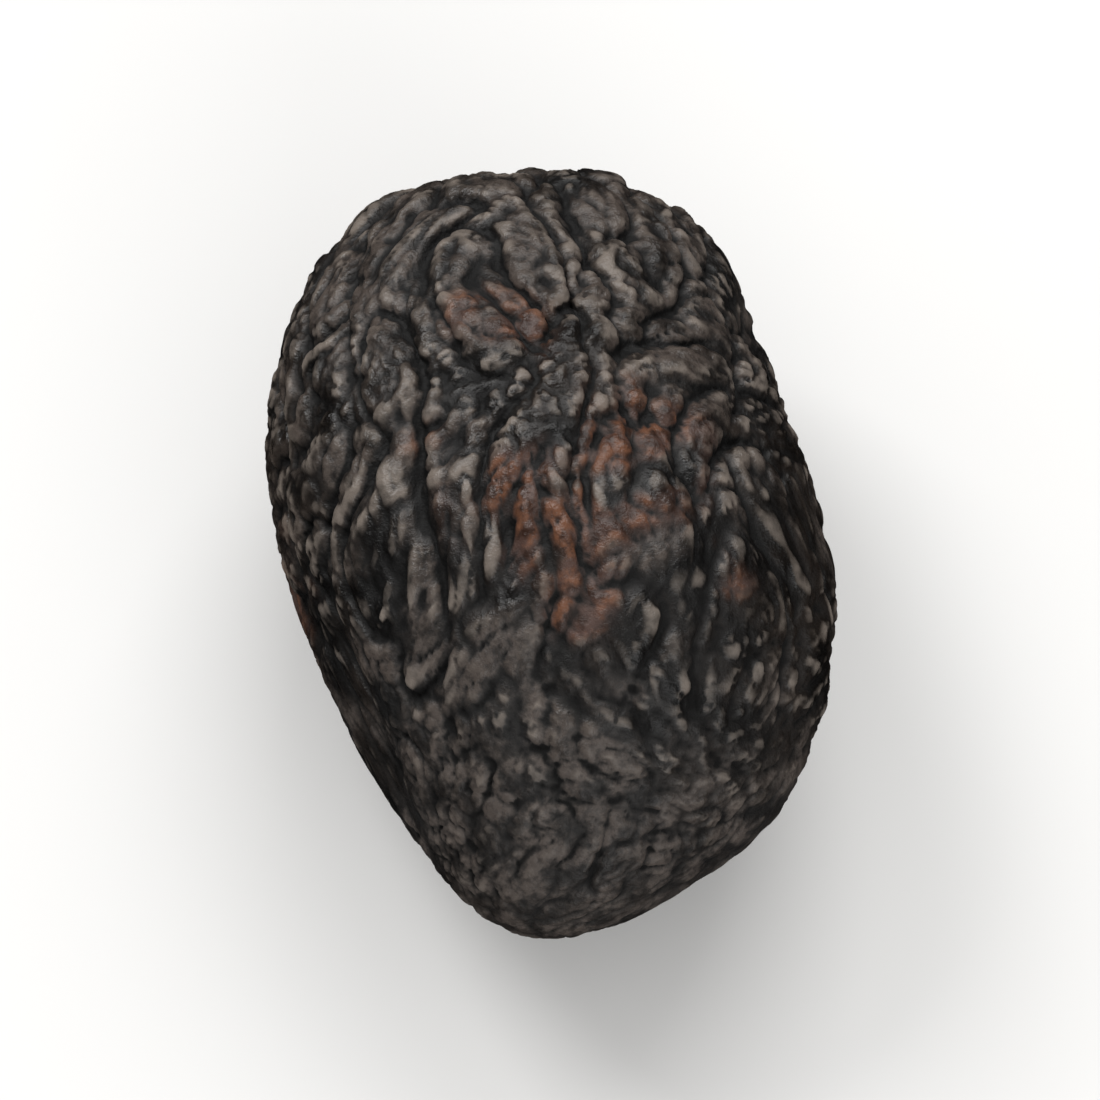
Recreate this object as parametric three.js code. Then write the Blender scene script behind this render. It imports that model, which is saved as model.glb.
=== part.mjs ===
// A single dried blackcurrant, lying on its side. Millimetres, +Z up.
// The fruit grew as one piece, so it is one closed solid: an egg-shaped body, dented and folded
// as its skin shrank, with the scar of its stalk in the broad end.
// The narrow tip points to -Y and the broad end to +Y. The origin is on the surface that the
// fruit lies on, under the middle of its box.
import * as THREE from "three";
import { mergeVertices } from "three/addons/utils/BufferGeometryUtils.js";

const { clamp, seededRandom, smoothstep } = THREE.MathUtils;

// Driving dimensions of the body, before its skin is folded
const bodyWidth = 7.85; // X
const bodyLength = 11.3; // Y
const bodyHeight = 7.5; // Z

// Shape of the body from end to end
const tipPower = 2.1; // 2 is a plain ellipse, more is blunter
const broadPower = 2.5;
const fullness = 0.97; // share of the width at the middle
const broadTaper = 0.03; // share of the width lost at the broad end
const tipTaper = 0.245; // share lost at the tip
const tipTaperPower = 2.2;
const lean = 0.97; // the broad half leans to -X and the tip's half to +X
const leanFade = 0.94; // how much the ends straighten again
const sidestep = 0.05;

// Soft swells and hollows of the body: where each is, how far it spreads and how high it stands
const swells = [
  { at: new THREE.Vector3(-2.5, 4.6, 1.0), spread: 1.5, height: 0.36 }, // left shoulder
  { at: new THREE.Vector3(1.9, 4.3, 1.2), spread: 1.4, height: 0.18 }, // right shoulder
  { at: new THREE.Vector3(3.7, 1.2, 0), spread: 2.0, height: 0.2 }, // right flank
  { at: new THREE.Vector3(2.7, -3.4, 0), spread: 1.5, height: 0.28 }, // right of the tip
  { at: new THREE.Vector3(-2.6, -3.4, 0), spread: 2.0, height: -0.05 }, // left of the tip
];

// Flat spot that the fruit lies on
const restDepth = 0.25; // how far the underside is pressed flat
const calmBelow = 0.3; // the folds fade out from here
const calmAbove = 1.3; // and are at full depth from here up

// Broad dents, where the flesh sank in as it dried
const dents = { seed: 52, count: 12, wavelength: 9.0, stretch: 1.0, depth: 0.07 };

// A few long creases, where the skin is pinched in
const creases = { seed: 1221, count: 30, wavelength: 6.0, stretch: 2.0, depth: 0.16 };
const creaseReach = { seed: 56, count: 12, wavelength: 5.0, stretch: 1.0, share: 0.5 };
const creaseWidth = 0.22; // as a share of the swing of its waves

// Folds and the wrinkles between them, longer along the fruit than across it
const folds = { seed: 94, count: 40, wavelength: 2.6, stretch: 2.0, depth: 0.16 };
const foldSteepness = 1.4;
const wrinkles = { seed: 1364, count: 60, wavelength: 1.3, stretch: 1.8, depth: 0.11 };
const wrinkleSteepness = 1.8;
const ridgeRounding = 0.12;
const foldMiddle = 0.5; // share of a fold's depth that lies below the smooth egg

// The folds wander, because the skin is dragged about as it shrinks
const drag = { seeds: [11, 12, 13], count: 12, wavelength: 5.0, stretch: 1.0, distance: 0.35 };

// The skin stays smoother round the tip
const tipSmoothFrom = -4.5; // Y of the smooth end of the change
const tipSmoothTo = 0; // Y where the folds are at full depth
const tipFolds = 0.5; // share of the folds' depth that is left at the tip

// and on its flanks, below these heights above its lowest point
const flankFolds = 0.45;
const flankFrom = 2.5;
const flankTo = 6.0;

// Scar of the stalk, a small pit with a raised rim and short folds that run into it
const scarCentre = new THREE.Vector3(-0.13, 5.25, -1.7);
const scarPitRadius = 0.55;
const scarPitDepth = 0.3;
const scarRimRadius = 0.85;
const scarRimWidth = 0.2;
const scarRimHeight = 0.12;
const scarFolds = 11;
const scarFoldRadius = 1.7;
const scarFoldWidth = 0.7;
const scarFoldDepth = 0.07;

const facetsPerEdge = 23; // of the icosahedron that the skin is divided from

// Each skin pattern is a sum of plane waves in random directions, and swings by about 1
function waves({ seed, count, wavelength, stretch }) {
  const spread = 0.4; // how much longer or shorter a wave may be
  seededRandom(seed);
  return Array.from({ length: count }, () => {
    const z = 2 * seededRandom() - 1;
    const angle = 2 * Math.PI * seededRandom();
    const number = (2 * Math.PI) / (wavelength * (1 + spread * (2 * seededRandom() - 1)));
    const across = Math.sqrt(1 - z * z);
    return {
      vector: new THREE.Vector3(
        number * across * Math.cos(angle),
        (number * across * Math.sin(angle)) / stretch,
        number * z,
      ),
      phase: 2 * Math.PI * seededRandom(),
    };
  });
}

function pattern(spec) {
  const parts = waves(spec);
  const scale = Math.sqrt(2 / parts.length);
  return (p) =>
    scale * parts.reduce((sum, { vector, phase }) => sum + Math.cos(vector.dot(p) + phase), 0);
}

const dentPattern = pattern(dents);
const creasePattern = pattern(creases);
const creaseReachPattern = pattern(creaseReach);
const foldPattern = pattern(folds);
const wrinklePattern = pattern(wrinkles);
const dragPatterns = drag.seeds.map((seed) => pattern({ ...drag, seed }));

// A point of the smooth egg, from the same direction on a ball of radius 1
function bodyPoint(direction) {
  const along = direction.y;
  const end = Math.abs(along);
  const power = along > 0 ? broadPower : tipPower;
  const taper = along > 0 ? broadTaper * end : tipTaper * end ** tipTaperPower;
  const girth = (1 - end ** power) ** (1 / power) * (fullness - taper);
  const round = Math.hypot(direction.x, direction.z) || 1;
  const shift = sidestep - lean * along * (1 - leanFade * along * along);
  return new THREE.Vector3(
    shift + (girth * direction.x * bodyWidth) / 2 / round,
    (along * bodyLength) / 2,
    (girth * direction.z * bodyHeight) / 2 / round,
  );
}

// 0 along the middle lines of a pattern, rising to 1 beside them, as a pinched fold does
function pinch(value, steepness) {
  const rounded = Math.hypot(value, ridgeRounding) - ridgeRounding;
  return 1 - Math.exp(-steepness * rounded);
}

// 1 on a ring of the given radius, fading out within the given width
function ring(distance, radius, width) {
  return Math.exp(-(((distance - radius) / width) ** 2));
}

function swelling(p) {
  return swells.reduce(
    (sum, { at, spread, height }) => sum + height * ring(p.distanceTo(at), 0, spread),
    0,
  );
}

function scarRelief(p) {
  const away = p.clone().sub(scarCentre);
  const distance = away.length();
  const turn = Math.atan2(away.z, away.x);
  const pit = ring(distance, 0, scarPitRadius) * scarPitDepth;
  const rim = ring(distance, scarRimRadius, scarRimWidth) * scarRimHeight;
  const gathers = ring(distance, scarFoldRadius, scarFoldWidth) * scarFoldDepth;
  return rim - pit + gathers * Math.cos(scarFolds * turn);
}

// How far the skin stands out of the smooth egg at a point of it
function relief(p) {
  const dragged = p.clone();
  dragged.x += drag.distance * dragPatterns[0](p);
  dragged.y += drag.distance * dragPatterns[1](p);
  dragged.z += drag.distance * dragPatterns[2](p);
  const creased = 1 - pinch(creasePattern(dragged), 1 / creaseWidth);
  const reach = clamp(creaseReach.share + creaseReachPattern(p), 0, 1);
  const fold = pinch(foldPattern(dragged), foldSteepness) - foldMiddle;
  const wrinkle = pinch(wrinklePattern(dragged), wrinkleSteepness) - foldMiddle;
  const skin = folds.depth * fold + wrinkles.depth * wrinkle - creases.depth * creased * reach;
  const above = p.z + bodyHeight / 2;
  const fromTip = tipFolds + (1 - tipFolds) * smoothstep(p.y, tipSmoothFrom, tipSmoothTo);
  const upFlank = flankFolds + (1 - flankFolds) * smoothstep(above, flankFrom, flankTo);
  const calm = smoothstep(above, calmBelow, calmAbove);
  const folded = calm * (fromTip * upFlank * skin + dents.depth * dentPattern(p));
  return folded + swelling(p) + scarRelief(p);
}

function eachPoint(geometry, change) {
  const { position } = geometry.attributes;
  const p = new THREE.Vector3();
  for (let i = 0; i < position.count; i += 1) {
    p.fromBufferAttribute(position, i);
    const moved = change(p, i);
    position.setXYZ(i, moved.x, moved.y, moved.z);
  }
}

// The ball is divided evenly, drawn out to the egg, and folded along its outward normals
function fruitGeometry() {
  const ball = new THREE.IcosahedronGeometry(1, facetsPerEdge);
  ball.deleteAttribute("normal");
  ball.deleteAttribute("uv");
  const geometry = mergeVertices(ball);
  eachPoint(geometry, bodyPoint);
  geometry.computeVertexNormals();
  const { normal } = geometry.attributes;
  const outward = new THREE.Vector3();
  eachPoint(geometry, (p, i) =>
    p.clone().addScaledVector(outward.fromBufferAttribute(normal, i), relief(p)),
  );
  return settle(geometry);
}

// The underside is pressed flat on the surface, and the box is centred over the origin
function settle(geometry) {
  geometry.computeBoundingBox();
  const { min, max } = geometry.boundingBox;
  const middle = min.clone().lerp(max, 0.5);
  const surface = min.z + restDepth;
  eachPoint(geometry, (p) =>
    p.clone().set(p.x - middle.x, p.y - middle.y, Math.max(p.z - surface, 0)),
  );
  geometry.computeVertexNormals();
  return geometry;
}

// Nearly black skin with a dull sheen
const skin = new THREE.MeshStandardMaterial({ color: 0x2b2623, roughness: 0.45, metalness: 0 });

const fruit = new THREE.Mesh(fruitGeometry(), skin);
fruit.name = "dried_blackcurrant";

const part = new THREE.Group();
part.add(fruit);

export default part;
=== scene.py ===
# %% [markdown]
# # A dried blackcurrant
# The real object is one small fruit, dried whole: a leaning egg about 11 mm long, with a nearly
# black skin that became too large for the flesh as the water left it. The skin lies in folds, the
# folds carry finer wrinkles, and a few patches are still reddish brown.
#
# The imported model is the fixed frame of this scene. It holds the fruit as one solid at its real
# size. This lesson grows the same fruit again with far more faces, lets its skin buckle as a real
# skin does, and gives it the finish of the real one.

# %% Load the frame
import math

import bmesh
import bpy
import numpy as np
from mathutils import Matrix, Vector


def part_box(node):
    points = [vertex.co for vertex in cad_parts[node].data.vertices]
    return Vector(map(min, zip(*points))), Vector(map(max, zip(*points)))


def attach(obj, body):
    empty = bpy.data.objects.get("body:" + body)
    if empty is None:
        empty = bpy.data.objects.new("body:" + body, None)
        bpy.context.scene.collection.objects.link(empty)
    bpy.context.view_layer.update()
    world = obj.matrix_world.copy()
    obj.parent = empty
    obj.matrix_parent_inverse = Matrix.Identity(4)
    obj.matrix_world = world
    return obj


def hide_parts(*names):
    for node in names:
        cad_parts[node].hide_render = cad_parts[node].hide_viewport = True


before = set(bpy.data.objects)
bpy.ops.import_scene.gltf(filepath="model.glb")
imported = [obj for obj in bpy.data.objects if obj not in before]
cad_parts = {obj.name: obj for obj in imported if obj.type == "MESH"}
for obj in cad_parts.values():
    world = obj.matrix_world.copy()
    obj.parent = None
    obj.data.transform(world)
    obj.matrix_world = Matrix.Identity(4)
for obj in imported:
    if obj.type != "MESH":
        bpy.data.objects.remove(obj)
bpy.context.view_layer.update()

MM = 0.001
NODE = "dried_blackcurrant"
low, high = (np.array(corner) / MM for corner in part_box(NODE))
print("the fruit's box in mm:", low.round(3), high.round(3))

# %% [markdown]
# ## Seeded waves
# A dried skin looks random, but it has to come out alike each time and match the solid below it.
# Blender's noise textures could not be repeated in another program, so each skin pattern here is
# a sum of plane waves in random directions. The draws come from the small generator known as
# mulberry32, which gives the same numbers in any language.

# %% Draw the same random waves as the solid
STRIDE = 0x6D2B79F5
WORD = 0xFFFFFFFF
WAVE_SPREAD = 0.4  # how much longer or shorter a wave may be
TRIAL_SEED = 21


def draws(seed):
    """Random numbers from 0 to 1. The first is the seed's own, and is left out."""
    state = seed
    while True:
        state = (state + STRIDE) & WORD
        mixed = ((state ^ (state >> 15)) * (state | 1)) & WORD
        mixed ^= (mixed + ((mixed ^ (mixed >> 7)) * (mixed | 61) & WORD)) & WORD
        if state != (seed + STRIDE) & WORD:
            yield (mixed ^ (mixed >> 14)) / (WORD + 1)


def pattern(points, seed, count, wavelength, stretch=1.0):
    """A field over the points that swings by about 1. Stretch draws it out along Y."""
    draw = draws(seed)
    total = np.zeros(len(points))
    for _ in range(count):
        z = 2 * next(draw) - 1
        angle = 2 * math.pi * next(draw)
        number = 2 * math.pi / (wavelength * (1 + WAVE_SPREAD * (2 * next(draw) - 1)))
        across = math.sqrt(1 - z * z)
        vector = (across * math.cos(angle), across * math.sin(angle) / stretch, z)
        total += np.cos(number * (points @ np.array(vector)) + 2 * math.pi * next(draw))
    return total * math.sqrt(2 / count)


trial = draws(TRIAL_SEED)
print("first draws of seed", TRIAL_SEED, "are", [round(next(trial), 4) for _ in range(3)])

# %% [markdown]
# ## The egg
# Under its folds the fruit is a plain egg: narrow at the tip, blunt at the broad end, and leaning
# to one side. It could be a sphere scaled along Y, but then both ends would be alike. So each
# point of an even ball is sent to its own place on the egg, with a girth and a sideways shift that
# depend on how far along the fruit it is.
#
# An icosphere has no poles and almost equal triangles, which the skin's buckling needs. Six
# levels, and then every edge cut in three, give 184,320 triangles a twentieth of a millimetre wide.

# %% Make an even ball
BALL_LEVELS = 6
EDGE_CUTS = 2


def add(name, data):
    """Puts an object with this mesh, light or camera into the scene."""
    thing = bpy.data.objects.new(name, data)
    bpy.context.scene.collection.objects.link(thing)
    return thing


mesh = bpy.data.meshes.new("fruit_skin")
ball = bmesh.new()
bmesh.ops.create_icosphere(ball, subdivisions=BALL_LEVELS, radius=1)
bmesh.ops.subdivide_edges(ball, edges=ball.edges[:], cuts=EDGE_CUTS, use_grid_fill=True)
ball.to_mesh(mesh)
ball.free()
fruit = add("fruit_skin", mesh)
print("faces of the ball:", len(mesh.polygons))

# %% Read and write a mesh's points as one array
def read_points():
    """The mesh's points, a row for each."""
    flat = np.empty(len(mesh.vertices) * 3)
    mesh.vertices.foreach_get("co", flat)
    return flat.reshape(-1, 3)


def write_points(points):
    """Puts the points into the mesh and returns the outward normals there."""
    mesh.vertices.foreach_set("co", points.ravel())
    mesh.update()
    flat = np.empty(len(mesh.vertices) * 3, np.float32)
    mesh.vertex_normals.foreach_get("vector", flat)
    return flat.reshape(-1, 3).astype(float)


def lengths(vectors):
    """The length of each vector."""
    return np.linalg.norm(vectors, axis=-1)


# %% Send the ball's points to the egg
BODY_WIDTH, BODY_LENGTH, BODY_HEIGHT = 7.85, 11.3, 7.5  # mm
TIP_POWER, BROAD_POWER = 2.1, 2.5  # 2 is a plain ellipse, more is blunter
FULLNESS = 0.97  # share of the width at the middle
BROAD_TAPER = 0.03  # share of the width lost at the broad end
TIP_TAPER, TIP_TAPER_POWER = 0.245, 2.2
LEAN, SIDESTEP = 0.97, 0.05  # mm
LEAN_FADE = 0.94  # how much the ends straighten again
TINY = 1e-9  # keeps a division from being by zero


def egg(directions):
    """The point of the egg for each direction from the ball's middle."""
    along = np.clip(directions[:, 1], -1, 1)
    end = np.abs(along)
    power = np.where(along > 0, BROAD_POWER, TIP_POWER)
    taper = np.where(along > 0, BROAD_TAPER * end, TIP_TAPER * end**TIP_TAPER_POWER)
    girth = (1 - end**power) ** (1 / power) * (FULLNESS - taper)
    round_about = np.maximum(np.hypot(directions[:, 0], directions[:, 2]), TINY)
    shift = SIDESTEP - LEAN * along * (1 - LEAN_FADE * along**2)
    return np.stack([
        shift + girth * directions[:, 0] / round_about * BODY_WIDTH / 2,
        along * BODY_LENGTH / 2,
        girth * directions[:, 2] / round_about * BODY_HEIGHT / 2,
    ], axis=1)


directions = read_points()
directions /= lengths(directions)[:, None]
smooth = egg(directions)
outward = write_points(smooth)
print("the smooth egg measures", np.ptp(smooth, axis=0).round(2), "mm")

# %% [markdown]
# ## Dents, creases and folds
# The large relief of the skin is the same formula as in the solid, so the two keep together. A
# fold is pinched: it drops steeply to a narrow line and is rounded between the lines. Taking how
# far a wave pattern is from zero, and letting it saturate, gives just that section. The folds are
# longer along the fruit than across it, and they wander, because the skin was dragged about as it
# shrank.

# %% Write down the patterns of the skin
# Each has its seed, how many waves it adds up and their length in mm, as the solid has them.
DRAG_SEEDS = (11, 12, 13)
DRAG = dict(count=12, wavelength=5.0)
DRAG_DISTANCE = 0.35  # mm
DENTS = dict(seed=52, count=12, wavelength=9.0)
CREASES = dict(seed=1221, count=30, wavelength=6.0, stretch=2.0)
CREASE_REACH = dict(seed=56, count=12, wavelength=5.0)
CREASE_SHARE = 0.5  # of the skin that the creases reach
CREASE_WIDTH = 0.22  # as a share of the swing of their waves
FOLDS = dict(seed=94, count=40, wavelength=2.6, stretch=2.0)
FOLD_STEEPNESS = 1.4
WRINKLES = dict(seed=1364, count=60, wavelength=1.3, stretch=1.8)
WRINKLE_STEEPNESS = 1.8
RIDGE_ROUNDING = 0.12
FOLD_MIDDLE = 0.5  # share of a fold's depth that lies below the smooth egg

# Depths in mm. All but the dents' are a little under the solid's, because the buckling adds some.
DENT_DEPTH = 0.07
CREASE_DEPTH = 0.14
FOLD_DEPTH = 0.14
WRINKLE_DEPTH = 0.10

# Where the skin stays smoother. Places along Y and heights above the lowest point are in mm.
FOLDS_AT_TIP = 0.5  # share of the folds' depth that is left at the tip
TIP_SMOOTH_FROM, TIP_SMOOTH_TO = -4.5, 0.0
FLANK_FOLDS = 0.45  # share that is left low on the flanks
FLANK_FROM, FLANK_TO = 2.5, 6.0
CALM_BELOW, CALM_ABOVE = 0.3, 1.3  # nothing is folded where the fruit lies on the floor


# %% Shape the large relief
def ramp(value, start, stop):
    """0 up to start and 1 from stop on, with soft ends."""
    t = np.clip((value - start) / (stop - start), 0, 1)
    return t * t * (3 - 2 * t)


def pinch(value, steepness):
    """0 along the middle lines of a pattern, rising to 1 beside them."""
    return 1 - np.exp(-steepness * (np.hypot(value, RIDGE_ROUNDING) - RIDGE_ROUNDING))


dragged = np.stack([pattern(smooth, seed, **DRAG) for seed in DRAG_SEEDS], axis=1)
dragged = smooth + DRAG_DISTANCE * dragged
creased = 1 - pinch(pattern(dragged, **CREASES), 1 / CREASE_WIDTH)
creased *= np.clip(CREASE_SHARE + pattern(smooth, **CREASE_REACH), 0, 1)
folded = pinch(pattern(dragged, **FOLDS), FOLD_STEEPNESS) - FOLD_MIDDLE
wrinkled = pinch(pattern(dragged, **WRINKLES), WRINKLE_STEEPNESS) - FOLD_MIDDLE
relief = FOLD_DEPTH * folded + WRINKLE_DEPTH * wrinkled - CREASE_DEPTH * creased
towards_tip = ramp(smooth[:, 1], TIP_SMOOTH_FROM, TIP_SMOOTH_TO)
above = smooth[:, 2] + BODY_HEIGHT / 2
skin_amount = FOLDS_AT_TIP + (1 - FOLDS_AT_TIP) * towards_tip
skin_amount *= FLANK_FOLDS + (1 - FLANK_FOLDS) * ramp(above, FLANK_FROM, FLANK_TO)
calm = ramp(above, CALM_BELOW, CALM_ABOVE)
relief = calm * (skin_amount * relief + DENT_DEPTH * pattern(smooth, **DENTS))
print("depth of the folds, from", relief.min().round(2), "to", relief.max().round(2), "mm")

# %% Add the swells of the body
SWELLS = {  # where each is, how far it spreads and how high it stands, in mm
    "left shoulder": ((-2.5, 4.6, 1.0), 1.5, 0.36),
    "right shoulder": ((1.9, 4.3, 1.2), 1.4, 0.18),
    "right flank": ((3.7, 1.2, 0), 2.0, 0.2),
    "right of the tip": ((2.7, -3.4, 0), 1.5, 0.28),
    "left of the tip": ((-2.6, -3.4, 0), 2.0, -0.05),
}


def ring(distance, radius, width):
    """1 on a ring of the given radius, fading out within the given width."""
    return np.exp(-(((distance - radius) / width) ** 2))


for name, (place, spread, height) in SWELLS.items():
    relief += height * ring(lengths(smooth - place), 0, spread)
    print(name, "stands", height, "mm")

# %% Add the scar of the stalk
SCAR = (-0.13, 5.25, -1.7)
SCAR_PIT_RADIUS, SCAR_PIT_DEPTH = 0.55, 0.3
SCAR_RIM_RADIUS, SCAR_RIM_WIDTH, SCAR_RIM_HEIGHT = 0.85, 0.2, 0.12
SCAR_FOLDS, SCAR_FOLD_RADIUS, SCAR_FOLD_WIDTH, SCAR_FOLD_DEPTH = 11, 1.7, 0.7, 0.07

from_scar = smooth - SCAR
scar_distance = lengths(from_scar)
scar_turn = np.arctan2(from_scar[:, 2], from_scar[:, 0])
gathers = SCAR_FOLD_DEPTH * ring(scar_distance, SCAR_FOLD_RADIUS, SCAR_FOLD_WIDTH)
relief += SCAR_RIM_HEIGHT * ring(scar_distance, SCAR_RIM_RADIUS, SCAR_RIM_WIDTH)
relief -= SCAR_PIT_DEPTH * ring(scar_distance, 0, SCAR_PIT_RADIUS)
relief += gathers * np.cos(SCAR_FOLDS * scar_turn)
core = smooth + outward * relief[:, None]
core_normals = write_points(core)
print("the folded core measures", np.ptp(core, axis=0).round(2), "mm")

# %% [markdown]
# ## Fine wrinkles from a skin that is too large
# The finest wrinkles could be a noise texture, but noise has no direction and no pinched valleys.
# Real ones come from a struggle: the skin keeps its area while the flesh shrinks, so it buckles,
# its stiffness keeps the buckles from being too narrow, and the flesh it is stuck to keeps them
# from being too tall. That is simple enough to work out here. Each point of the skin is pulled by
# springs to its neighbours, whose rest lengths are longer than the gaps between them, by a bending
# force, and by the core below. Small steps settle it.
#
# No skin is the same all over, so its growth, its stiffness and its grip on the flesh vary softly
# from place to place. It buckles twice, first into coarse wrinkles and then into fine ones on them.

# %% List each point's neighbours
NEIGHBOURS = 6


def neighbour_table():
    """The neighbours of each point and a weight of 1 for each. Twelve points have only five."""
    count = len(mesh.vertices)
    ends = np.empty(len(mesh.edges) * 2, np.int32)
    mesh.edges.foreach_get("vertices", ends)
    ends = ends.reshape(-1, 2)
    both = np.concatenate([ends, ends[:, ::-1]])
    both = both[np.argsort(both[:, 0], kind="stable")]
    first = np.searchsorted(both[:, 0], np.arange(count + 1))
    table = np.tile(np.arange(count)[:, None], (1, NEIGHBOURS))
    weight = np.zeros((count, NEIGHBOURS), np.float32)
    for place in range(NEIGHBOURS):
        has = np.diff(first) > place
        table[has, place] = both[first[:-1][has] + place, 1]
        weight[has, place] = 1
    return table, weight


near, weight = neighbour_table()
weight_sum = weight.sum(axis=1, keepdims=True)


def unevenness(points):
    """How far the middle of a point's neighbours is from the point."""
    return np.einsum("ijk,ij->ik", points[near], weight) / weight_sum - points


print("points:", len(near), "with five neighbours:", int((weight_sum < NEIGHBOURS).sum()))

# %% Make the skin's excess and stiffness uneven
GROWTH_CHANGE, GROWTH_WAVES = 0.35, dict(seed=31, count=30, wavelength=2.2)
STIFFNESS_CHANGE = 0.6
TOUGH_WAVES = dict(seed=41, count=40, wavelength=1.4)
GRIP_WAVES = dict(seed=42, count=40, wavelength=1.8)
SATURATION = 0.7


def bounded(field):
    """The same field, with its highest swings held back."""
    return np.tanh(SATURATION * field) / SATURATION


uneven_growth = calm * (1 + GROWTH_CHANGE * bounded(pattern(smooth, **GROWTH_WAVES)))
toughness = np.exp(STIFFNESS_CHANGE * bounded(pattern(smooth, **TOUGH_WAVES)))
grip = np.exp(-STIFFNESS_CHANGE * bounded(pattern(smooth, **GRIP_WAVES)))
print("growth varies from", uneven_growth.min().round(2), "to", uneven_growth.max().round(2))

# %% Let the skin buckle
STEPS = 140
STEP_SIZE = 0.3
DAMPING = 0.92
EDGE = 0.055  # mm, the usual length of a face's edge
FIRST_RIPPLE = 0.02  # mm, what the buckling grows from
RIPPLE_WAVES, RIPPLE_STRETCH = 70, 1.6
COARSE = dict(wrinkle_edges=8, stiffness=1.9, across=0.12, along=0.09, seed=24)
FINE = dict(wrinkle_edges=5, stiffness=2.0, across=0.05, along=0.05, seed=25)


def buckle(core, amount, wrinkle_edges, stiffness, across, along, seed):
    """The core's skin after it grew across and along the fruit by these shares.

    Its wrinkles are about so many edges long. The amount says where it grows more or less.
    """
    normals = write_points(core)
    # The way along the fruit, within its skin, and how much each edge lies along it
    length_way = np.array([0.0, 1.0, 0.0]) - outward * outward[:, 1:2]
    length_way /= lengths(length_way)[:, None] + TINY
    gaps = core[near] - core[:, None]
    gap_lengths = lengths(gaps) + TINY
    lie = (np.einsum("ijk,ik->ij", gaps, length_way) / gap_lengths) ** 2
    growth = along * lie + across * (1 - lie)
    growth = growth * (amount[:, None] + amount[near]) / 2
    rest = (gap_lengths * (1 + growth)).astype(np.float32)
    start = core.astype(np.float32)
    flat = unevenness(start)
    wavelength = wrinkle_edges * EDGE
    ripple = FIRST_RIPPLE * pattern(dragged, seed, RIPPLE_WAVES, wavelength, RIPPLE_STRETCH)
    skin = (core + normals * ripple[:, None]).astype(np.float32)
    speed = np.zeros_like(skin)
    bend = (stiffness * toughness).astype(np.float32)[:, None]
    # Holding the skin down this hard keeps wrinkles of the wanted length the easiest to form
    bent = (2 * math.pi / wrinkle_edges) ** 2 / 4
    hold = (stiffness * grip * bent**2).astype(np.float32)[:, None]
    for _ in range(STEPS):
        gaps = skin[near] - skin[:, None]
        now = np.sqrt(np.einsum("ijk,ijk->ij", gaps, gaps)) + TINY
        force = np.einsum("ijk,ij->ik", gaps, (now - rest) / now * weight)
        force -= bend * unevenness(unevenness(skin) - flat)
        force -= hold * (skin - start)
        speed = DAMPING * speed + STEP_SIZE * force
        skin += STEP_SIZE * speed
    moved = ((skin - core) * normals).sum(axis=1)
    print("wrinkles stand from", moved.min().round(3), "to", moved.max().round(3), "mm")
    return skin.astype(float)


skin = buckle(core, uneven_growth * skin_amount, **COARSE)
skin = buckle(skin, uneven_growth * skin_amount, **FINE)

# %% [markdown]
# ## Crinkles
# A skin that has dried hard is crinkled all over, across its folds and even where they are calm.
# More buckling would only make the folds taller, so the crinkles are two more pinched patterns of
# short waves, pushed out along the buckled skin's own normals.

# %% Crinkle the whole skin
CRINKLES = {  # depth in mm, and the waves
    0.065: dict(seed=72, count=80, wavelength=0.65, stretch=1.3),
    0.045: dict(seed=71, count=80, wavelength=0.30, stretch=1.3),
}
CRINKLE_STEEPNESS = 2.5
CRINKLE_LEAST = 0.4  # share of their depth that stays where there are no folds

crinkled = np.zeros(len(skin))
for depth, waves in CRINKLES.items():
    crinkled += depth * (pinch(pattern(dragged, **waves), CRINKLE_STEEPNESS) - FOLD_MIDDLE)
crinkle_amount = calm * (CRINKLE_LEAST + (1 - CRINKLE_LEAST) * skin_amount)
skin = skin + write_points(skin) * (crinkle_amount * crinkled)[:, None]
print("crinkles, in mm from the top to the bottom of one:", np.ptp(crinkled).round(3))

# %% [markdown]
# ## Lying down
# The underside is pressed flat where the fruit lies, as in the solid. The wrinkles stand a little
# out of the folded core, so the whole skin is then fitted to the solid's box, which changes it by
# about one part in a hundred. The object itself stays at the origin, unturned and unscaled.

# %% Press the underside flat and fit the skin to the solid's box
REST_DEPTH = 0.25  # mm

skin[:, 2] = np.maximum(skin[:, 2] - skin[:, 2].min() - REST_DEPTH, 0)
share = (high - low) / np.ptp(skin, axis=0)
skin = low + (skin - skin.min(axis=0)) * share
write_points(skin * MM)
mesh.polygons.foreach_set("use_smooth", [True] * len(mesh.polygons))
print("fitted by", share.round(4))

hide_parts(NODE)
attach(fruit, "root")

# %% [markdown]
# ## Where the skin is high, and where it is red
# The finish follows the shape: crests are rubbed pale and carry a painted highlight, and valleys
# carry painted shade. The shader can't see how high a point stands, so that is worked out here and
# kept on the mesh as an attribute. The red-brown patches, where the skin is thin, are kept the same
# way.

# %% Measure the crests and valleys
FOLD_SMOOTHING, WRINKLE_SMOOTHING = 90, 12  # rounds of evening out, for broad and for fine relief
HIGHEST = 95  # per cent of the points are below the height that counts as 1


def keep(name, values):
    """Writes a value for each point into the mesh, where the shader can read it."""
    mesh.attributes.new(name, "FLOAT", "POINT").data.foreach_set("value", values.astype(np.float32))


def height_above(rounds):
    """How high each point stands above the skin evened out in so many rounds, from -1 to 1."""
    level = skin.astype(np.float32)
    for _ in range(rounds):
        level = level + unevenness(level)
    height = ((skin - level) * core_normals).sum(axis=1)
    top = np.percentile(np.abs(height), HIGHEST)
    print("relief over", rounds, "rounds:", top.round(3), "mm")
    return np.clip(height / top, -1, 1)


keep("fold", height_above(FOLD_SMOOTHING))
keep("ridge", height_above(WRINKLE_SMOOTHING))

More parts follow.
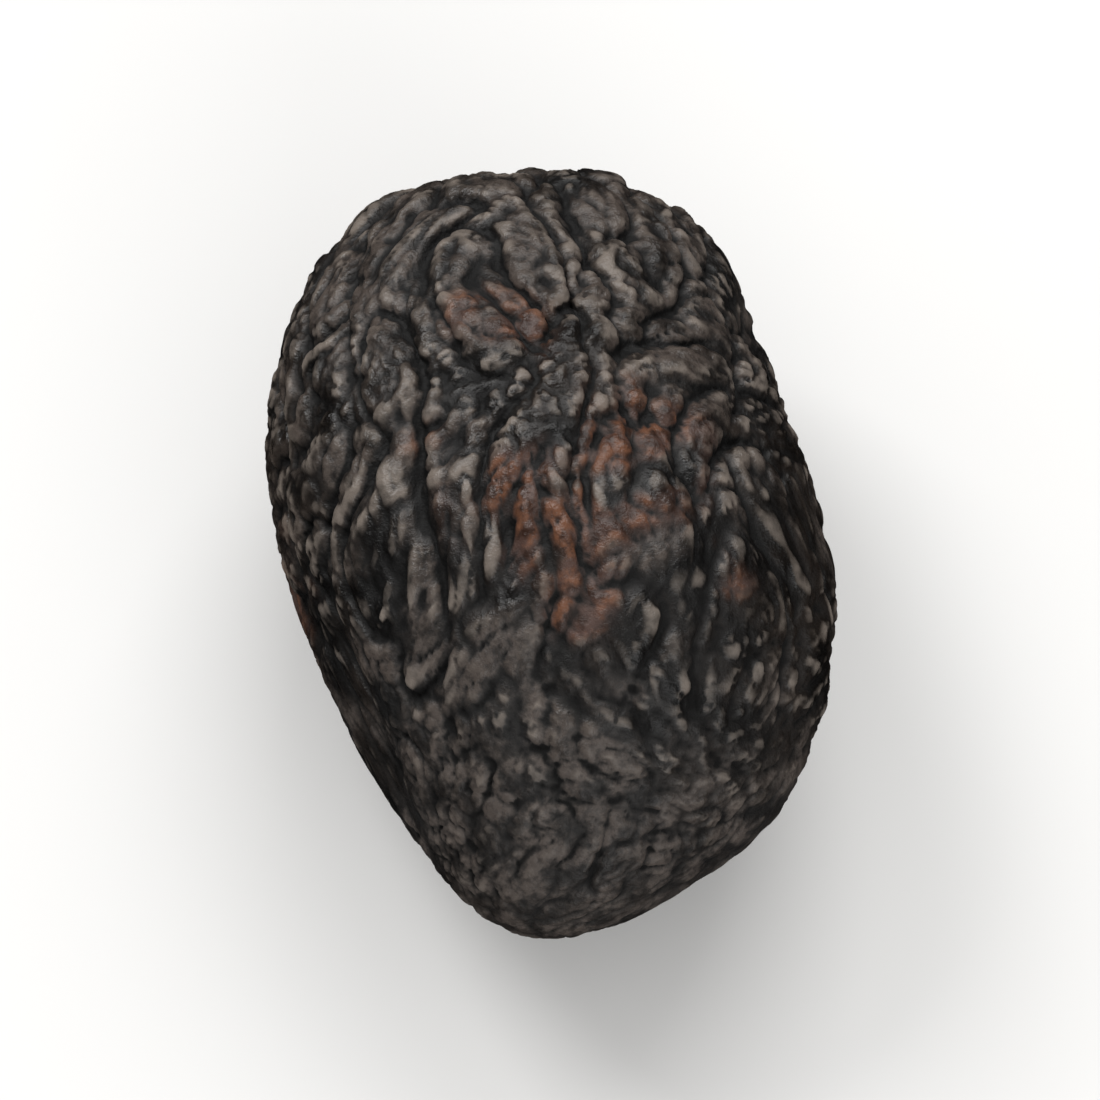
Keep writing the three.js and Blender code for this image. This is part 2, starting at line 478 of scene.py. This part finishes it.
# %% Place the red-brown patches
PATCHES = [  # where in mm, radius, strength
    ((1.4, 0.1, 6.8), 0.75, 1.0),
    ((0.5, -0.1, 7.0), 0.7, 0.65),
    ((0.8, -0.75, 7.0), 0.9, 0.75),
    ((-0.3, -0.8, 7.0), 0.7, 0.85),
    ((0.35, -1.6, 6.9), 0.6, 1.0),
    ((0.4, -2.2, 6.8), 0.5, 0.9),
    ((1.0, 0.8, 6.9), 0.6, 0.45),
    ((-1.0, -0.7, 6.8), 0.6, 0.35),
    ((-1.7, 0.1, 6.6), 0.4, 0.4),
    ((-0.7, 2.1, 6.8), 0.8, 0.42),
    ((2.4, -1.5, 6.1), 0.4, 0.45),
    ((-2.9, -0.5, 3.0), 1.2, 0.4),
    ((2.2, 4.0, 2.6), 1.0, 0.5),
    ((0.6, 4.9, 1.0), 0.9, 0.6),
]
MOTTLING = dict(seed=61, count=40, wavelength=0.9)
MOTTLING_SHARE = 0.6
REDDISH = 0.4  # the blush from which the skin looks red-brown

blush = np.zeros(len(skin))
for place, radius, strength in PATCHES:
    blush = np.maximum(blush, strength * ring(lengths(skin - place), 0, radius))
blush = np.clip(blush * (1 + MOTTLING_SHARE * pattern(smooth, **MOTTLING)), 0, 1)
keep("blush", blush)
print("share of the skin that is red-brown:", (blush > REDDISH).mean().round(3))

# %% [markdown]
# ## Where the bloom lies
# Dried fruit carries a thin grey film, its bloom, of wax and fine dust. It could be one noise over
# the whole skin, but on the real one it is rubbed off in some places and thicker in others, and
# that shows more than any single wrinkle. So a soft mottling is the start, and each place in a
# list adds to it or takes away from it.

# %% Lay the bloom on
BLOOM = [  # where in mm, radius, strength: more bloom, or less where it was rubbed off
    ((-2.3, 3.1, 6.0), 1.5, 0.6),
    ((0.5, 2.9, 6.5), 1.2, 0.5),
    ((1.1, 1.1, 6.7), 0.8, 0.4),
    ((-1.3, 0.4, 6.9), 0.7, 0.4),
    ((-0.1, 0.2, 7.1), 0.6, -0.35),
    ((1.1, -1.6, 6.9), 0.5, 0.4),
    ((0.0, -4.8, 4.9), 2.4, 0.45),
    ((-2.3, 0.7, 6.4), 0.8, 0.25),
    ((-2.4, 2.0, 1.5), 2.4, 0.3),
    ((2.4, 1.5, 1.5), 2.0, 0.3),
    ((0.5, 4.8, 3.2), 1.6, 0.3),
    ((-0.9, 1.1, 7.0), 0.5, -0.4),
    ((1.9, -2.1, 6.4), 1.0, -0.4),
    ((2.6, -2.9, 5.4), 0.9, -0.3),
    ((-0.2, -1.8, 6.9), 0.4, -0.3),
    ((-3.2, -1.7, 4.4), 1.2, -0.3),
    ((2.3, 4.4, 4.0), 1.0, -0.3),
    ((0.0, 1.6, 6.9), 0.7, -0.55),
    ((1.6, 1.9, 6.4), 0.9, 0.65),
    ((1.6, 4.0, 5.3), 0.9, 0.55),
    ((0.0, -1.8, 6.9), 0.9, -0.5),
    ((-1.6, -1.8, 6.6), 0.9, 0.45),
    ((3.2, -1.4, 4.5), 1.0, -0.8),
    ((1.6, -3.2, 6.2), 0.9, -0.35),
    ((-1.6, -3.2, 6.0), 0.9, 0.45),
    ((3.0, -4.2, 4.0), 1.0, 0.35),
    ((0.2, -5.2, 3.6), 1.0, 0.7),
    ((-1.6, 3.9, 5.6), 0.9, 0.35),
    ((-1.4, -4.4, 5.0), 1.0, 0.4),
]
BLOOM_USUAL = 0.35
BLOOM_MOTTLING_SHARE = 0.65
BLOOM_MOTTLING = dict(seed=62, count=40, wavelength=1.3, stretch=1.3)

bloom = BLOOM_USUAL * (1 + BLOOM_MOTTLING_SHARE * pattern(smooth, **BLOOM_MOTTLING))
for place, radius, strength in BLOOM:
    bloom += strength * ring(lengths(skin - place), 0, radius)
bloom = np.clip(bloom, 0, 1)
keep("bloom", bloom)
print("bloom over the whole skin, on average:", bloom.mean().round(2))

# %% Mark the dull tip and the corky scar
dull = 1 - towards_tip
cork = ring(scar_distance, 0, SCAR_RIM_RADIUS + SCAR_RIM_WIDTH)
keep("dull", dull)
keep("scar", cork)
print("dull and corky shares of the skin:", dull.mean().round(3), cork.mean().round(3))

# %% [markdown]
# ## The finish of the skin
# Dried blackcurrant skin is nearly black, with a dull sheen from its wax. Handling rubs the crests
# paler and smoother than the valleys; their paleness is also a painted highlight, and the valleys
# are painted darker as shade. The red-brown patches are broken up by the dark skin between them.
# What is too small to model, wrinkles of a tenth of a millimetre, is a bump.
#
# One flat colour would look like plastic, and a picture of a skin would stretch over the folds. So
# the colour is laid on in thin coats, as a painter glazes: a dark ground, painted shade in the
# valleys with dark blotches, the grey film, pale crests that are partly a painted highlight,
# red-brown patches and the corky scar. Height and noise make a mask for each.
#
# Every pattern reads the object's own coordinates or the attributes kept above, so it stays on the
# skin from all sides.

# %% Helpers to lay out shader nodes
def new_material(name):
    """A material, its tree of nodes and its shader."""
    material = bpy.data.materials.new(name)
    material.use_nodes = True
    tree = material.node_tree
    return material, tree, tree.nodes["Principled BSDF"]


def plug(tree, value, socket):
    """Links an output to the socket, or sets a plain number or colour on it."""
    if isinstance(value, bpy.types.NodeSocket):
        tree.links.new(value, socket)
    elif isinstance(value, tuple):
        socket.default_value = (*value, 1)
    else:
        socket.default_value = value


def attribute(tree, name):
    """A value that was kept on the mesh."""
    node = tree.nodes.new("ShaderNodeAttribute")
    node.attribute_name = name
    return node.outputs["Fac"]


def remap(tree, value, start, stop, low_value=0.0, high_value=1.0):
    """Goes softly from one value to the other while the input goes from start to stop."""
    node = tree.nodes.new("ShaderNodeMapRange")
    node.interpolation_type = "SMOOTHSTEP"
    for socket, number in zip(node.inputs, (value, start, stop, low_value, high_value)):
        plug(tree, number, socket)
    return node.outputs["Result"]


def noise(tree, wavelength_mm, detail=3.0, roughness=0.55):
    """A soft random pattern from 0 to 1, in the object's own coordinates."""
    where = tree.nodes.new("ShaderNodeTexCoord").outputs["Object"]
    node = tree.nodes.new("ShaderNodeTexNoise")
    plug(tree, where, node.inputs["Vector"])
    node.inputs["Scale"].default_value = 1 / (wavelength_mm * MM)
    node.inputs["Detail"].default_value = detail
    node.inputs["Roughness"].default_value = roughness
    return node.outputs["Fac"]


def combine(tree, operation, *values):
    """Adds or multiplies the values."""
    node = tree.nodes.new("ShaderNodeMath")
    node.operation = operation
    for value, socket in zip(values, node.inputs):
        plug(tree, value, socket)
    return node.outputs["Value"]


def mix_colour(tree, amount, first, second):
    """The first colour where the amount is 0, and the second where it is 1."""
    node = tree.nodes.new("ShaderNodeMix")
    node.data_type = "RGBA"
    plug(tree, amount, node.inputs["Factor"])
    colours = [socket for socket in node.inputs if socket.type == "RGBA"]
    for value, socket in zip((first, second), colours):
        plug(tree, value, socket)
    return next(socket for socket in node.outputs if socket.type == "RGBA")


# %% Colour of the bare skin, with painted shade in the valleys
# Each range says at which input a mask starts to rise and at which it is full.
BROWN_BLACK, BLUE_BLACK = (0.0120, 0.0086, 0.0066), (0.0065, 0.0060, 0.0058)
# The darkest colour is painted shade in the valleys, and it also makes dark blotches at random.
PAINTED_SHADE_AND_BLOTCHES = (0.0022, 0.0018, 0.0016)
TINT_SIZE, TINT_RANGE = 3.0, (0.42, 0.58)  # sizes in mm
VALLEY_FOLDS, VALLEY_RIDGES = (-0.9, 0.1), (-1.1, -0.2)
BLOTCH_SIZE, BLOTCH_DETAIL, BLOTCH_RANGE, BLOTCH_LEAST = 0.9, 4.0, (0.42, 0.54), 0.25

skin_material, tree, shader = new_material("dried_skin")
fold = attribute(tree, "fold")
ridge = attribute(tree, "ridge")
tint = remap(tree, noise(tree, TINT_SIZE), *TINT_RANGE)
colour = mix_colour(tree, tint, BROWN_BLACK, BLUE_BLACK)
# stands_up falls to 0 in the valleys of folds and wrinkles, which get the painted shade; the
# blotches lower it at random too.
stands_up = remap(tree, fold, *VALLEY_FOLDS)
stands_up = combine(tree, "MULTIPLY", stands_up, remap(tree, ridge, *VALLEY_RIDGES))
blotches = remap(tree, noise(tree, BLOTCH_SIZE, BLOTCH_DETAIL), *BLOTCH_RANGE, BLOTCH_LEAST)
stands_up = combine(tree, "MULTIPLY", stands_up, blotches)
colour = mix_colour(tree, stands_up, PAINTED_SHADE_AND_BLOTCHES, colour)
print("nodes for the bare skin:", len(tree.nodes))

# %% Grey film of bloom, in specks and dust
GREY_BLOOM = (0.057, 0.045, 0.038)
BLOOM_RANGE, BLOOM_RIDGES = (0.1, 0.9), (-0.6, 0.4)
SPECK_SIZE, SPECK_DETAIL = 0.55, 4.0
SPECK_RANGE, SPECK_SHARES = (0.40, 0.58), (0.20, 1.20)
DUST_SIZE, DUST_DETAIL, DUST_ROUGHNESS = 0.14, 4.0, 0.65
DUST_RANGE, DUST_SHARES = (0.38, 0.62), (0.55, 1.20)

film = remap(tree, attribute(tree, "bloom"), *BLOOM_RANGE)
# The film thins out of the valleys, leaving the painted shade there.
film = combine(tree, "MULTIPLY", film, remap(tree, ridge, *BLOOM_RIDGES))
specks = remap(tree, noise(tree, SPECK_SIZE, SPECK_DETAIL), *SPECK_RANGE, *SPECK_SHARES)
film = combine(tree, "MULTIPLY", film, specks)
dust = noise(tree, DUST_SIZE, DUST_DETAIL, DUST_ROUGHNESS)
film = combine(tree, "MULTIPLY", film, remap(tree, dust, *DUST_RANGE, *DUST_SHARES))
colour = mix_colour(tree, film, colour, GREY_BLOOM)
print("nodes with the film:", len(tree.nodes))

# %% Crests rubbed pale and painted with a highlight
# The crests' pale colour is partly rubbed wear and partly a painted highlight.
CREST_WEAR_AND_HIGHLIGHT = (0.145, 0.121, 0.102)
CREST_RIDGES, CREST_FOLDS = (0.3, 1.0), (-0.3, 0.5)
RUB_SIZE, RUB_RANGE = 0.6, (0.35, 0.65)

rubbed_and_highlight = remap(tree, ridge, *CREST_RIDGES)
rubbed_and_highlight = combine(tree, "MULTIPLY", rubbed_and_highlight, remap(tree, noise(tree, RUB_SIZE), *RUB_RANGE))
rubbed_and_highlight = combine(tree, "MULTIPLY", rubbed_and_highlight, remap(tree, fold, *CREST_FOLDS))
colour = mix_colour(tree, rubbed_and_highlight, colour, CREST_WEAR_AND_HIGHLIGHT)
print("nodes with the crests:", len(tree.nodes))

# %% Red-brown patches
RUST, ROSE, ORANGE_AND_HIGHLIGHT = (0.027, 0.0115, 0.0068), (0.064, 0.035, 0.027), (0.120, 0.050, 0.026)
ROSE_SIZE, ROSE_RANGE = 0.28, (0.38, 0.62)
ORANGE_SIZE, ORANGE_DETAIL, ORANGE_RANGE = 0.30, 4.0, (0.42, 0.62)
ORANGE_RIDGES = (-0.3, 0.8)
BLUSH_RANGE, BLUSH_RIDGES = (0.05, 0.65), (-0.8, 0.2)

rosy = remap(tree, noise(tree, ROSE_SIZE), *ROSE_RANGE)
warm = mix_colour(tree, rosy, RUST, ROSE)
# Orange spots are the skin's own colour, made brighter along the crests as a painted highlight.
bright = remap(tree, noise(tree, ORANGE_SIZE, ORANGE_DETAIL), *ORANGE_RANGE)
bright = combine(tree, "MULTIPLY", bright, remap(tree, ridge, *ORANGE_RIDGES))
warm = mix_colour(tree, bright, warm, ORANGE_AND_HIGHLIGHT)
patch = remap(tree, attribute(tree, "blush"), *BLUSH_RANGE)
# The patches leave the valleys, where the painted shade stays.
patch = combine(tree, "MULTIPLY", patch, remap(tree, ridge, *BLUSH_RIDGES))
colour = mix_colour(tree, patch, colour, warm)
print("nodes with the patches:", len(tree.nodes))

# %% Scar of the stalk
CORK = (0.085, 0.058, 0.038)
SCAR_RANGE, SCAR_RIDGES = (0.3, 0.6), (-0.6, 0.3)
CORK_SIZE, CORK_RANGE = 0.2, (0.3, 0.6)

scar = remap(tree, attribute(tree, "scar"), *SCAR_RANGE)
scar = combine(tree, "MULTIPLY", scar, remap(tree, noise(tree, CORK_SIZE), *CORK_RANGE))
scar = combine(tree, "MULTIPLY", scar, remap(tree, ridge, *SCAR_RIDGES))
colour = mix_colour(tree, scar, colour, CORK)
plug(tree, colour, shader.inputs["Base Color"])
print("nodes with the scar:", len(tree.nodes))

# %% Gloss
ROUGH_VALLEY, ROUGH_CREST = 0.70, 0.32
ROUGH_RIDGES = (-0.8, 0.7)
ROUGHER_TIP = 0.16  # how much rougher the tip is
HAZE_SIZE, HAZE_RANGE, HAZE_CHANGE = 0.8, (0.3, 0.7), (-0.05, 0.09)
SHEEN_LEVEL = 0.4

rough = remap(tree, ridge, *ROUGH_RIDGES, ROUGH_VALLEY, ROUGH_CREST)
at_tip = remap(tree, attribute(tree, "dull"), 0.0, 1.0, 0.0, ROUGHER_TIP)
rough = combine(tree, "ADD", rough, at_tip)
haze = remap(tree, noise(tree, HAZE_SIZE), *HAZE_RANGE, *HAZE_CHANGE)
plug(tree, combine(tree, "ADD", rough, haze), shader.inputs["Roughness"])
shader.inputs["Specular IOR Level"].default_value = SHEEN_LEVEL
print("roughness of a valley and of a crest:", ROUGH_VALLEY, ROUGH_CREST)

# %% Grain
CREPING_SIZE, CREPING_DETAIL = 0.10, 3.0
GRAIN_SIZE, GRAIN_DETAIL, GRAIN_SHARE = 0.05, 2.0, 0.3
NOISE_ROUGHNESS = 0.6
GRAIN_DEPTH = 0.035  # mm
BUMP_STRENGTH = 0.6

creping = noise(tree, CREPING_SIZE, CREPING_DETAIL, NOISE_ROUGHNESS)
grain = noise(tree, GRAIN_SIZE, GRAIN_DETAIL, NOISE_ROUGHNESS)
bump_height = combine(tree, "ADD", creping, combine(tree, "MULTIPLY", grain, GRAIN_SHARE))
bump = tree.nodes.new("ShaderNodeBump")
bump.inputs["Strength"].default_value = BUMP_STRENGTH
bump.inputs["Distance"].default_value = GRAIN_DEPTH * MM
plug(tree, bump_height, bump.inputs["Height"])
plug(tree, bump.outputs["Normal"], shader.inputs["Normal"])
mesh.materials.append(skin_material)
print("nodes in the skin:", len(tree.nodes))

# %% [markdown]
# ## Floor, light and camera
# The fruit lies on a plain pale floor. The main light is soft and comes from the upper left, so
# that each fold has a bright and a dark side and the shadow falls to the lower right. A broad one
# behind lights the blunt end, and a low one in front keeps the tip from going black. The camera
# looks down at 65 degrees, from beyond the tip, through a long lens.

# %% Lay the floor
FLOOR_HALF = 0.6  # m
FLOOR_COLOUR = (0.65, 0.645, 0.635)
FLOOR_ROUGHNESS = 0.8

floor_mesh = bpy.data.meshes.new("floor")
square = bmesh.new()
bmesh.ops.create_grid(square, x_segments=1, y_segments=1, size=FLOOR_HALF)
square.to_mesh(floor_mesh)
square.free()
floor = add("floor", floor_mesh)
floor_material, floor_tree, floor_shader = new_material("pale_floor")
plug(floor_tree, FLOOR_COLOUR, floor_shader.inputs["Base Color"])
plug(floor_tree, FLOOR_ROUGHNESS, floor_shader.inputs["Roughness"])
floor_mesh.materials.append(floor_material)
floor.visible_glossy = False  # as if a black card kept the floor out of the fruit's gloss
print("the floor is", 2 * FLOOR_HALF, "m wide")

# %% Hang the lights
LIGHTS = {  # place and size in m, power in W
    "key_light": ((-0.11, 0.10, 0.17), 0.09, 0.24),
    "back_light": ((0.05, 0.16, 0.20), 0.15, 0.30),
    "low_fill_light": ((0.06, -0.16, 0.07), 0.15, 0.18),
}
SKY_COLOUR, SKY_STRENGTH = (1, 1, 1), 0.80


def soft_light(name, place, size, power):
    """A square light that shines at the origin."""
    light = bpy.data.lights.new(name, "AREA")
    light.size = size
    light.energy = power
    lamp = add(name, light)
    lamp.location = place
    lamp.rotation_euler = (Vector((0, 0, 0)) - Vector(place)).to_track_quat("-Z", "Y").to_euler()
    print(name, "has", power, "W")


for name, settings in LIGHTS.items():
    soft_light(name, *settings)
world = bpy.data.worlds.new("studio")
bpy.context.scene.world = world
world.use_nodes = True
sky = world.node_tree.nodes["Background"]
plug(world.node_tree, SKY_COLOUR, sky.inputs["Color"])
plug(world.node_tree, SKY_STRENGTH, sky.inputs["Strength"])
world.cycles_visibility.glossy = False  # only the lights show in the gloss
bpy.context.scene.view_settings.view_transform = "Standard"

# %% Set up the camera
ELEVATION = math.radians(65)
DISTANCE = 0.16  # m
VIEW_WIDTH = 15.5 * MM
SENSOR = 36  # mm
CLIP_START = 1 * MM

camera_data = bpy.data.cameras.new("camera")
camera_data.sensor_width = SENSOR
camera_data.lens = SENSOR * DISTANCE / VIEW_WIDTH
camera_data.clip_start = CLIP_START
camera = add("camera", camera_data)
away = Vector((0, -math.cos(ELEVATION), math.sin(ELEVATION)))
target = Vector((0, 0, float(high[2]) * MM / 2))
camera.location = target + away * DISTANCE
camera.rotation_euler = away.to_track_quat("Z", "Y").to_euler()
bpy.context.scene.camera = camera
print("lens:", round(camera_data.lens), "mm")
